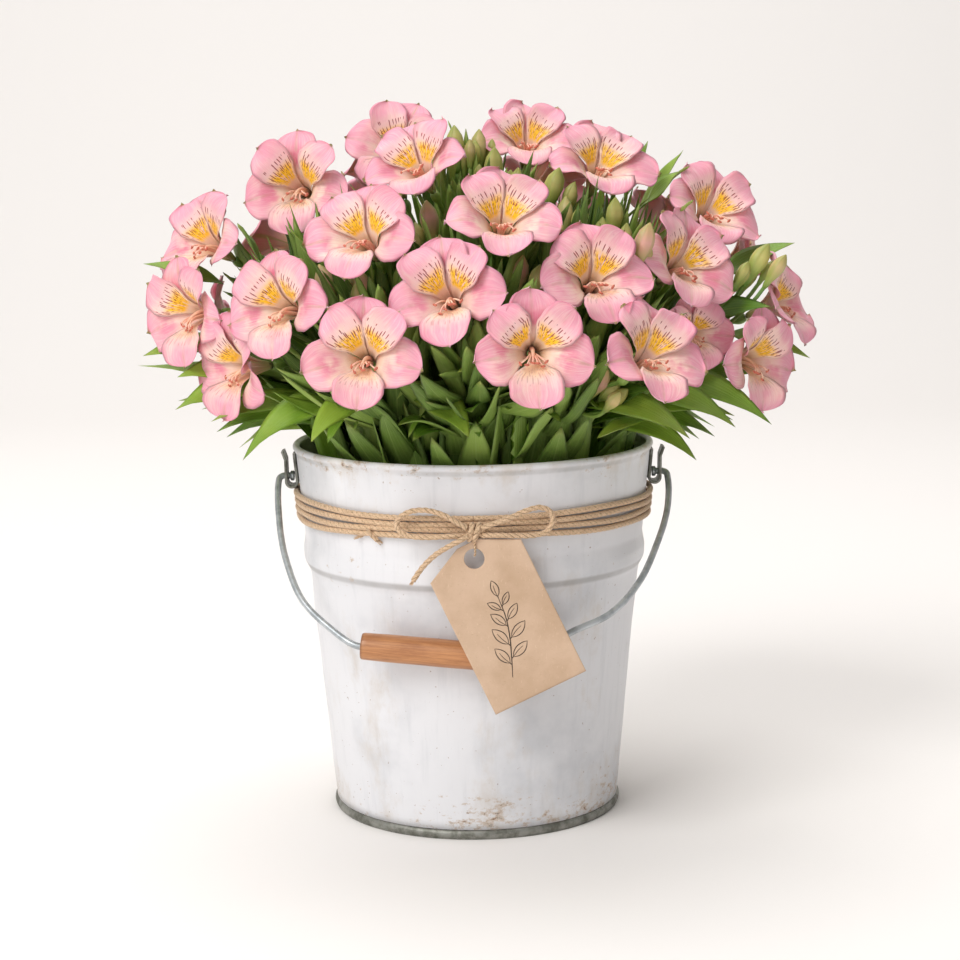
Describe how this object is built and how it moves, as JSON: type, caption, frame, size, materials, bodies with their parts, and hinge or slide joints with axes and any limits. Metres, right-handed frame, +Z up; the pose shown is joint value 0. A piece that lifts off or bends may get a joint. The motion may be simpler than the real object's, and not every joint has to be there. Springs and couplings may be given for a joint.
{
  "type": "alstroemeria bunch in metal pail",
  "caption": "Domed bunch of pink alstroemerias in a small painted metal pail with a wire bail, wooden grip, jute bow and blank kraft tag.",
  "frame": {"origin": "centre of the circle that the pail stands on, at the height of that surface", "axes": "+Z up; -Y towards the front, where the bow, tag and bail hang; +X to the right as seen from the front"},
  "size_m": [0.3511, 0.2907, 0.3718],
  "materials": {
    "paint": "matt off-white paint, worn and chipped",
    "zinc": "dull grey galvanised sheet",
    "wire": "drawn galvanised wire",
    "wood": "turned and oiled, satin",
    "twine": "twisted jute, hairy",
    "kraft": "uncoated kraft card",
    "water": "clear water",
    "leaf": "fresh green leaf and stem, satin, parallel veins",
    "petal": "soft pink petal with yellow throat and dark flecks"
  },
  "bodies": {
    "pail": {"pail_wall": "paint", "pail_floor": "zinc", "ear_right": "zinc", "ear_left": "zinc", "water": "water", "twine_wrap": "twine", "bow_loop_left": "twine", "bow_loop_right": "twine", "bow_tail": "twine", "stem_front_left": "leaf", "stem_front": "leaf", "stem_front_right": "leaf", "stem_right": "leaf", "stem_right_back": "leaf", "stem_back_right": "leaf", "stem_back": "leaf", "stem_back_left": "leaf", "stem_left": "leaf", "stem_centre": "leaf", "bloom_01": "petal", "bloom_02": "petal", "bloom_03": "petal", "bloom_04": "petal", "bloom_05": "petal", "bloom_06": "petal", "bloom_07": "petal", "bloom_08": "petal", "bloom_09": "petal", "bloom_10": "petal", "bloom_11": "petal", "bloom_12": "petal", "bloom_13": "petal", "bloom_14": "petal", "bloom_15": "petal", "bloom_16": "petal", "bloom_17": "petal", "bloom_18": "petal", "bloom_19": "petal", "bloom_20": "petal", "bloom_21": "petal", "bloom_22": "petal", "bloom_23": "petal", "bloom_24": "petal", "bloom_25": "petal", "bloom_26": "petal", "bloom_27": "petal", "bloom_28": "petal", "bloom_29": "petal", "bloom_30": "petal", "bloom_31": "petal", "bloom_32": "petal", "bloom_33": "petal", "bloom_34": "petal", "bloom_35": "petal", "bloom_36": "petal"},
    "bail": {"bail_wire": "wire"},
    "grip": {"wood_grip": "wood"},
    "tag": {"gift_tag": "kraft", "tag_string": "twine"}
  },
  "joints": [
    {"name": "bail_swing", "type": "hinge", "parent": "pail", "child": "bail", "pos_m": [0, 0, 0.177], "axis": [-1, 0, 0], "range_deg": [0, 32]},
    {"name": "grip_spin", "type": "hinge", "parent": "bail", "child": "grip", "pos_m": [-0.0188, -0.09024, 0.10128], "axis": [0.9921, -0.096, -0.0806], "continuous": true},
    {"name": "tag_lift", "type": "hinge", "parent": "pail", "child": "tag", "pos_m": [0, -0.0974, 0.163], "axis": [-1, 0, 0], "range_deg": [0, 106]}
  ],
  "couplings": [
    {"joint": "tag_lift", "follows": "bail_swing", "ratio": 3.3}
  ]
}
